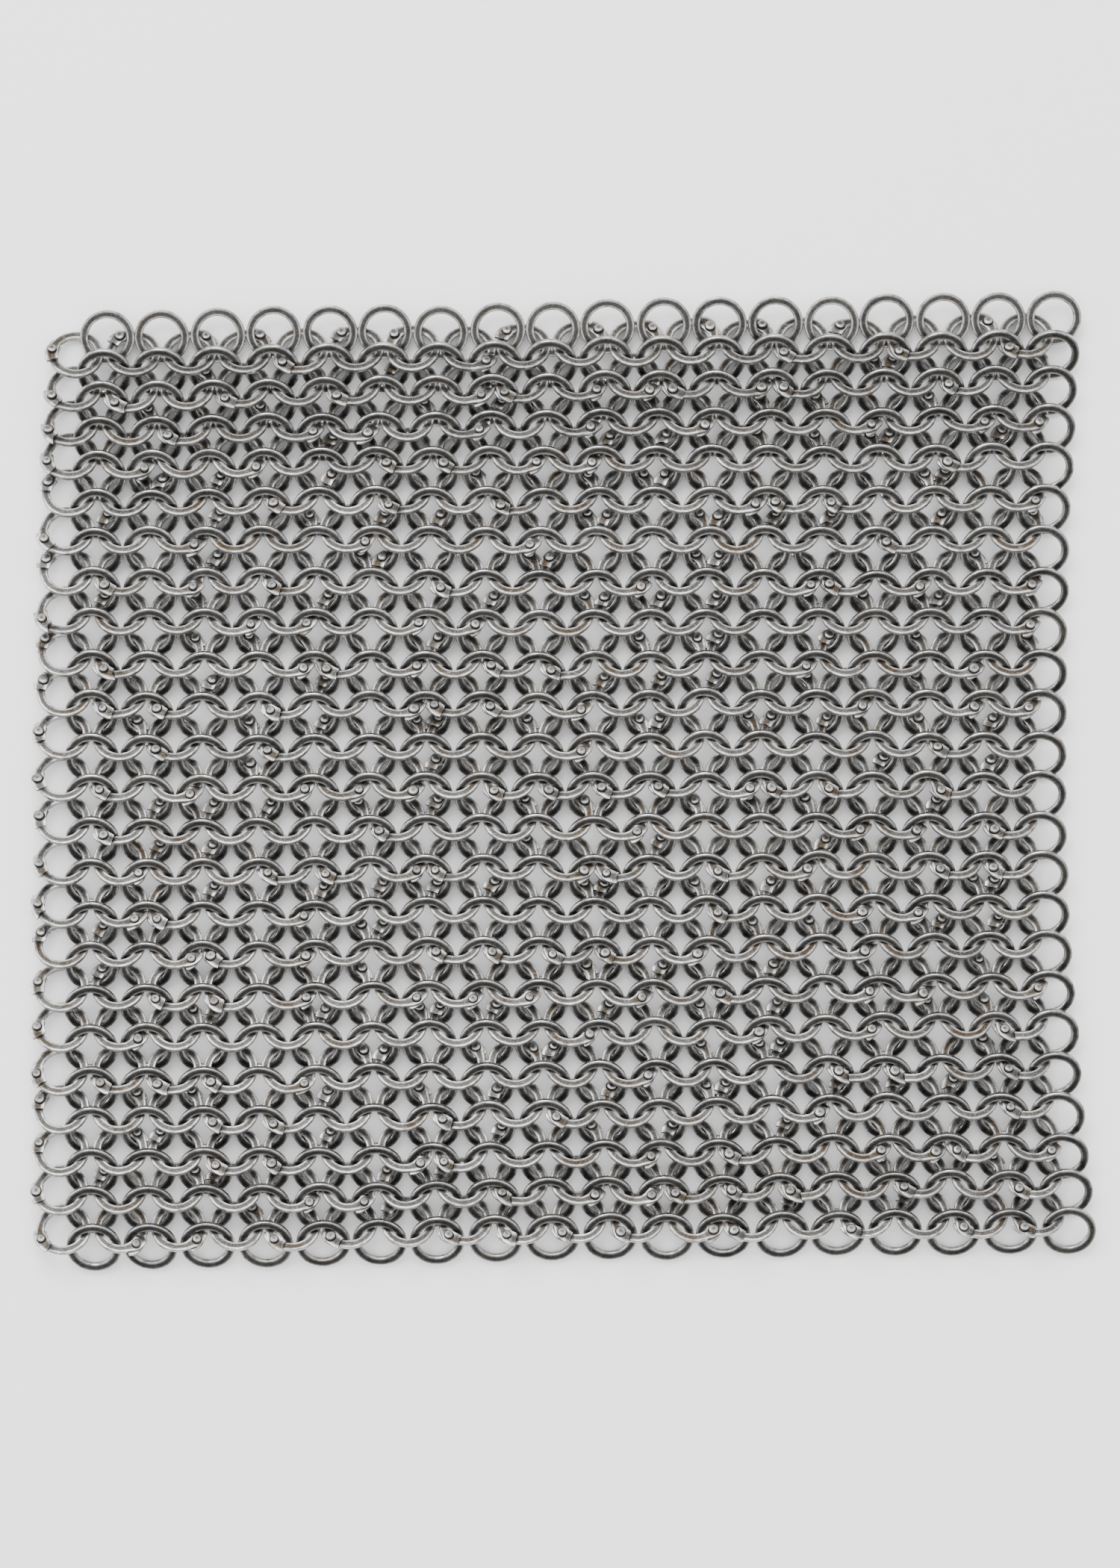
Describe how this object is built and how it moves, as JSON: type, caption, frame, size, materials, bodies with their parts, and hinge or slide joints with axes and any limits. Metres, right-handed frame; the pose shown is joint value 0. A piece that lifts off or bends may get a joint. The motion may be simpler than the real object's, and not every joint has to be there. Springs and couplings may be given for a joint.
{
  "type": "chain mail panel",
  "caption": "Flat square panel of riveted flat-ring mail in the four-in-one weave, loose at its edges, that folds and drapes row on row.",
  "frame": {"origin": "centre of the sheet's bounding box, on the face it rests on", "axes": "+X along the rows of rings, +Y up the sheet towards the first row, +Z out of the sheet's upper side, the side the rivet heads stand on"},
  "size_m": [0.2228, 0.2056, 0.0076],
  "materials": {
    "solid_ring_steel": "tumbled mild steel, bright worn edges, dull grey faces",
    "riveted_ring_steel": "tumbled mild steel, flattened bright laps, slight brown tint in places",
    "rivet_steel": "hammered steel heads, brighter than the rings"
  },
  "bodies": {
    "strip_01": {"solid_rings_row_01": "solid_ring_steel", "riveted_rings_row_01": "riveted_ring_steel", "solid_rings_row_02": "solid_ring_steel", "rivets_strip_01": "rivet_steel"},
    "strip_02": {"riveted_rings_row_02": "riveted_ring_steel", "solid_rings_row_03": "solid_ring_steel", "riveted_rings_row_03": "riveted_ring_steel", "solid_rings_row_04": "solid_ring_steel", "rivets_strip_02": "rivet_steel"},
    "strip_03": {"riveted_rings_row_04": "riveted_ring_steel", "solid_rings_row_05": "solid_ring_steel", "riveted_rings_row_05": "riveted_ring_steel", "solid_rings_row_06": "solid_ring_steel", "rivets_strip_03": "rivet_steel"},
    "strip_04": {"riveted_rings_row_06": "riveted_ring_steel", "solid_rings_row_07": "solid_ring_steel", "riveted_rings_row_07": "riveted_ring_steel", "solid_rings_row_08": "solid_ring_steel", "rivets_strip_04": "rivet_steel"},
    "strip_05": {"riveted_rings_row_08": "riveted_ring_steel", "solid_rings_row_09": "solid_ring_steel", "riveted_rings_row_09": "riveted_ring_steel", "solid_rings_row_10": "solid_ring_steel", "rivets_strip_05": "rivet_steel"},
    "strip_06": {"riveted_rings_row_10": "riveted_ring_steel", "solid_rings_row_11": "solid_ring_steel", "riveted_rings_row_11": "riveted_ring_steel", "solid_rings_row_12": "solid_ring_steel", "rivets_strip_06": "rivet_steel"},
    "strip_07": {"riveted_rings_row_12": "riveted_ring_steel", "solid_rings_row_13": "solid_ring_steel", "riveted_rings_row_13": "riveted_ring_steel", "solid_rings_row_14": "solid_ring_steel", "rivets_strip_07": "rivet_steel"},
    "strip_08": {"riveted_rings_row_14": "riveted_ring_steel", "solid_rings_row_15": "solid_ring_steel", "riveted_rings_row_15": "riveted_ring_steel", "solid_rings_row_16": "solid_ring_steel", "rivets_strip_08": "rivet_steel"},
    "strip_09": {"riveted_rings_row_16": "riveted_ring_steel", "solid_rings_row_17": "solid_ring_steel", "riveted_rings_row_17": "riveted_ring_steel", "solid_rings_row_18": "solid_ring_steel", "rivets_strip_09": "rivet_steel"},
    "strip_10": {"riveted_rings_row_18": "riveted_ring_steel", "solid_rings_row_19": "solid_ring_steel", "riveted_rings_row_19": "riveted_ring_steel", "solid_rings_row_20": "solid_ring_steel", "rivets_strip_10": "rivet_steel"},
    "strip_11": {"riveted_rings_row_20": "riveted_ring_steel", "solid_rings_row_21": "solid_ring_steel", "riveted_rings_row_21": "riveted_ring_steel", "solid_rings_row_22": "solid_ring_steel", "rivets_strip_11": "rivet_steel"},
    "strip_12": {"riveted_rings_row_22": "riveted_ring_steel", "solid_rings_row_23": "solid_ring_steel", "riveted_rings_row_23": "riveted_ring_steel", "solid_rings_row_24": "solid_ring_steel", "rivets_strip_12": "rivet_steel"}
  },
  "joints": [
    {"name": "fold_01_02", "type": "hinge", "parent": "strip_01", "child": "strip_02", "pos_m": [0.00057, 0.08592, 0.00269], "axis": [-0.9998, -0.0194, 0], "range_deg": [0, 16]},
    {"name": "fold_02_03", "type": "hinge", "parent": "strip_02", "child": "strip_03", "pos_m": [0.00057, 0.07102, 0.00278], "axis": [-0.9999, -0.0105, 0], "range_deg": [0, 14]},
    {"name": "fold_03_04", "type": "hinge", "parent": "strip_03", "child": "strip_04", "pos_m": [0.00057, 0.05469, 0.00227], "axis": [-1, -0.0022, 0], "range_deg": [0, 26]},
    {"name": "fold_04_05", "type": "hinge", "parent": "strip_04", "child": "strip_05", "pos_m": [0.00057, 0.03761, 0.00226], "axis": [-1, -0.0001, 0], "range_deg": [0, 26]},
    {"name": "fold_05_06", "type": "hinge", "parent": "strip_05", "child": "strip_06", "pos_m": [0.00057, 0.02043, 0.00226], "axis": [-1, -0.002, 0], "range_deg": [0, 26]},
    {"name": "fold_06_07", "type": "hinge", "parent": "strip_06", "child": "strip_07", "pos_m": [0.00057, 0.00328, 0.00227], "axis": [-1, -0.0046, 0], "range_deg": [0, 26]},
    {"name": "fold_07_08", "type": "hinge", "parent": "strip_07", "child": "strip_08", "pos_m": [0.00057, -0.0139, 0.00226], "axis": [-1, -0.0075, 0], "range_deg": [0, 26]},
    {"name": "fold_08_09", "type": "hinge", "parent": "strip_08", "child": "strip_09", "pos_m": [0.00057, -0.03104, 0.00226], "axis": [-0.9999, -0.0108, 0], "range_deg": [0, 26]},
    {"name": "fold_09_10", "type": "hinge", "parent": "strip_09", "child": "strip_10", "pos_m": [0.00057, -0.04816, 0.00228], "axis": [-0.9999, -0.0143, 0], "range_deg": [0, 26]},
    {"name": "fold_10_11", "type": "hinge", "parent": "strip_10", "child": "strip_11", "pos_m": [0.00057, -0.06521, 0.00227], "axis": [-0.9999, -0.0172, 0], "range_deg": [0, 26]},
    {"name": "fold_11_12", "type": "hinge", "parent": "strip_11", "child": "strip_12", "pos_m": [0.00057, -0.08185, 0.00227], "axis": [-0.9998, -0.0185, 0], "range_deg": [0, 26]}
  ]
}
